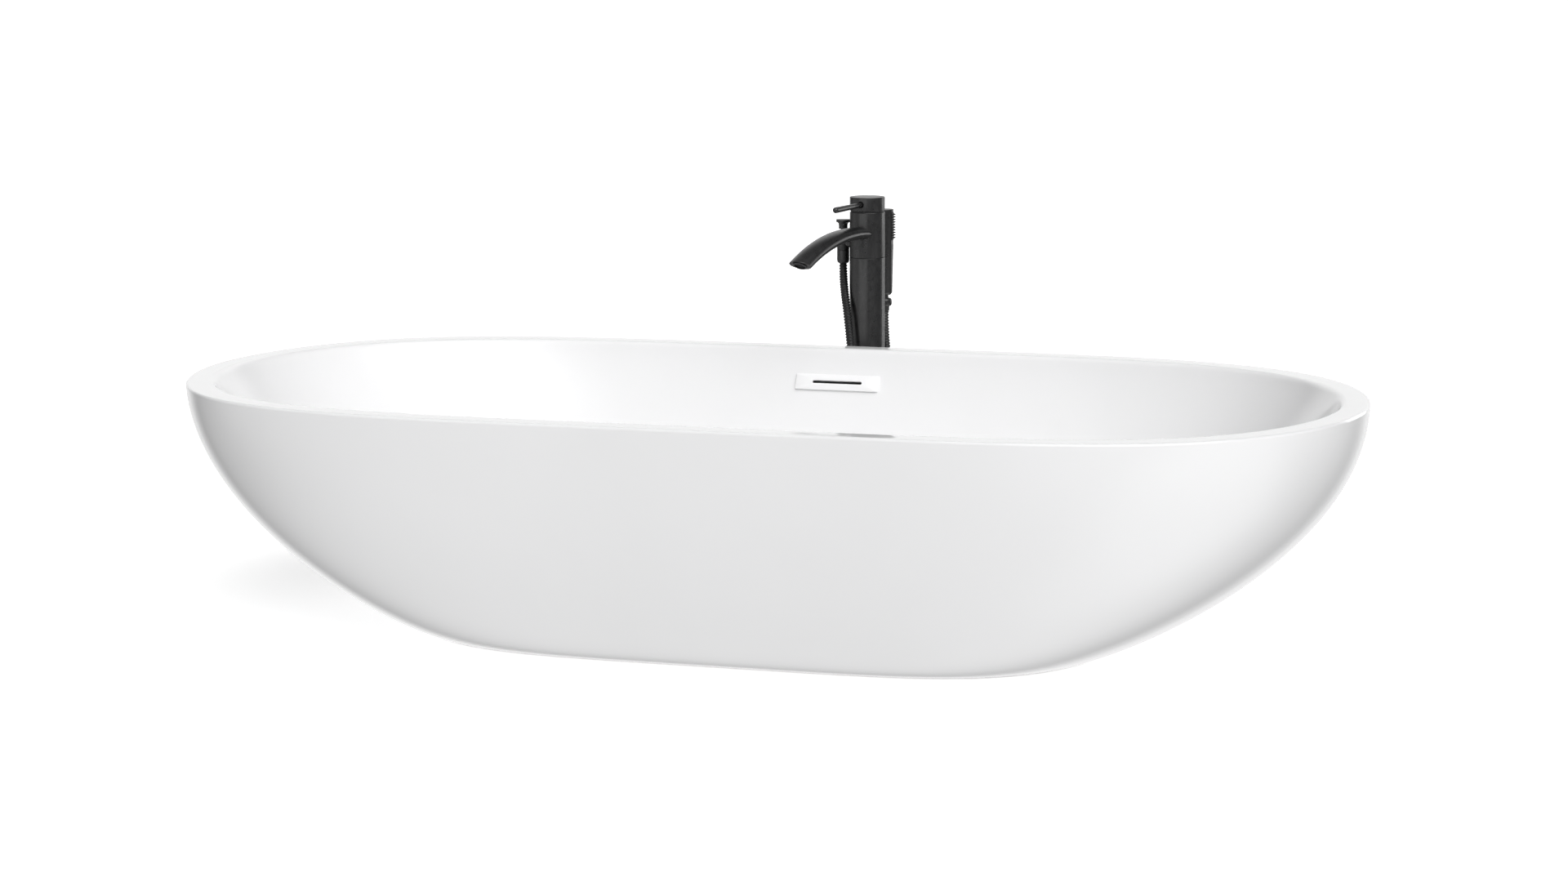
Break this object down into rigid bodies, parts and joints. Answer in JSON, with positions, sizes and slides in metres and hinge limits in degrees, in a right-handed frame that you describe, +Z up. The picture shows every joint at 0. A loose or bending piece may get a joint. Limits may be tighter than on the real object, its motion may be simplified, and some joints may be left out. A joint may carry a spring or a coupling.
{
  "type": "freestanding bathtub",
  "caption": "Oval double-walled freestanding bath with a flat rim, slot overflow and pop-up drain, and a floor-standing black filler with arched spout, lever head and hand shower.",
  "frame": {"origin": "on the floor under the middle of the bath, at the underside of the middle foot", "axes": "+X along the bath, +Y to the back where the filler stands, +Z up"},
  "size_m": [1.8, 1.1131, 0.6085],
  "materials": {
    "acrylic": "glossy white acrylic",
    "white_trim": "glossy white trim",
    "black_metal": "matt black coated brass",
    "black_hose": "ribbed black hose",
    "black_trim": "matt black plastic",
    "steel": "zinc plated steel",
    "brass": "raw brass",
    "rubber": "black rubber",
    "grey_plastic": "moulded plastic pipe and cartridge",
    "board": "resin sealed board"
  },
  "bodies": {
    "bath": {"bath_shell": "acrylic", "outer_skirt": "acrylic", "rim_batten": "board", "base_board": "board", "support_frame": "steel", "frame_screws": "steel", "foot_rods": "steel", "foot_nuts": "steel", "foot_pads": "rubber", "drain_flange": "white_trim", "drain_gasket": "rubber", "drain_washer": "rubber", "drain_lock_nut": "grey_plastic", "drain_spider": "grey_plastic", "waste_elbow": "grey_plastic", "overflow_pipe": "grey_plastic", "pipe_nuts": "grey_plastic", "overflow_plate": "white_trim", "overflow_gasket": "rubber", "overflow_housing": "grey_plastic", "overflow_screws": "steel", "floor_flange": "steel", "floor_cover": "black_metal", "column_tube": "black_metal", "column_screws": "steel", "supply_inlets": "brass", "supply_hoses": "steel", "valve_body": "black_metal", "cartridge_body": "grey_plastic", "cartridge_nut": "black_metal", "glide_ring": "black_trim", "spout": "black_metal", "aerator_housing": "black_trim", "aerator_screen": "black_trim", "diverter_body": "black_metal", "outlet_hose_nut": "black_metal", "hose_washers": "rubber", "hose_ferrule": "brass", "handset_cradle": "black_metal", "cradle_screw": "steel", "shower_hose": "black_hose"},
    "lever": {"lever_head": "black_metal", "lever_bar": "black_metal", "lever_grub_screw": "steel", "cartridge_stem": "brass"},
    "diverter": {"diverter_knob": "black_metal", "diverter_stem": "black_metal"},
    "stopper": {"stopper_cap": "white_trim", "stopper_stem": "brass", "stopper_seal": "rubber"},
    "handset": {"handset_body": "black_metal", "spray_face": "rubber", "handset_hose_nut": "black_metal"}
  },
  "joints": [
    {"name": "lever_turn", "type": "hinge", "parent": "bath", "child": "lever", "pos_m": [0, 0.578, 0.597], "axis": [0, 0, 1], "range_deg": [0, 100]},
    {"name": "diverter_pull", "type": "slide", "parent": "bath", "child": "diverter", "axis": [0, 0, 1], "range_m": [0, 0.008], "stiffness_N_per_m": 150, "springref_m": -0.004},
    {"name": "stopper_press", "type": "slide", "parent": "bath", "child": "stopper", "axis": [0, 0, 1], "range_m": [-0.006, 0], "stiffness_N_per_m": 400, "springref_m": 0.004},
    {"name": "handset_lift", "type": "slide", "parent": "bath", "child": "handset", "axis": [0, 0, 1], "range_m": [0, 0.04]}
  ]
}
